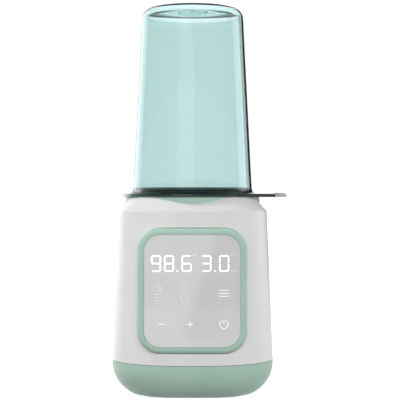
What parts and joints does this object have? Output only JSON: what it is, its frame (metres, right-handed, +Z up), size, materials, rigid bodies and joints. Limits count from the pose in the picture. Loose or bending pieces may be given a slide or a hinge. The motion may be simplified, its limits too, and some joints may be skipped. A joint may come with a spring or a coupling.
{
  "type": "bottle warmer",
  "caption": "Electric baby bottle warmer: soft-square tower with a water tank, lift-out basket, touch panel and tall clear lid with a pull tab.",
  "frame": {"origin": "on the axis of the water tank, on the surface that the feet stand on", "axes": "+Z up along the tank's axis, -Y to the front with the touch panel, +X to the lid's pull tab"},
  "size_m": [0.1347, 0.1282, 0.297],
  "materials": {
    "white_shell": "satin moulded ABS",
    "mint_shell": "satin moulded ABS",
    "base_plate": "fine-textured moulded ABS",
    "panel_glass": "high gloss",
    "tank_plastic": "gloss",
    "basket_plastic": "fine-textured moulded polypropylene",
    "clear_lid": "polished clear plastic",
    "silicone": "satin",
    "black_rubber": "matte",
    "zinc_steel": "zinc plated",
    "aluminium": "turned",
    "heater_steel": "satin",
    "board_green": "solder mask",
    "black_component": "moulded",
    "blue_component": "sleeved",
    "ferrite": "sintered",
    "terminal_green": "moulded",
    "fuse_glass": "clear",
    "white_reflector": "moulded",
    "adhesive_film": "foam tape",
    "wire_sleeve": "silicone sleeve",
    "ribbon": "flat cable"
  },
  "bodies": {
    "base_unit": {"main_housing": "white_shell", "lower_housing": "mint_shell", "bottom_cover": "base_plate", "rubber_feet": "black_rubber", "cover_screws": "zinc_steel", "cord_gland": "black_rubber", "collar_ring": "mint_shell", "collar_seal": "silicone", "water_tank": "tank_plastic", "tank_screws": "zinc_steel", "heater_plate": "aluminium", "heater_seal": "silicone", "heating_element": "heater_steel", "heater_clamp": "zinc_steel", "clamp_screws": "zinc_steel", "thermistor": "black_component", "thermal_cutout": "heater_steel", "panel_frame": "mint_shell", "touch_panel": "panel_glass", "panel_adhesive": "adhesive_film", "digit_light_box": "white_reflector", "touch_springs": "zinc_steel", "display_board": "board_green", "display_board_screws": "zinc_steel", "power_board": "board_green", "power_board_screws": "zinc_steel", "power_relay": "blue_component", "power_transformer": "ferrite", "power_capacitors": "black_component", "terminal_block": "terminal_green", "fuse": "fuse_glass", "buzzer": "black_component", "heater_wires": "wire_sleeve", "display_cable": "ribbon"},
    "basket": {"bottle_basket": "basket_plastic"},
    "lid": {"lid_dome": "clear_lid"}
  },
  "joints": [
    {"name": "lid_lift", "type": "slide", "parent": "base_unit", "child": "lid", "axis": [0, 0, 1], "range_m": [0, 0.17]},
    {"name": "basket_lift", "type": "slide", "parent": "base_unit", "child": "basket", "axis": [0, 0, 1], "range_m": [0, 0.058]}
  ]
}
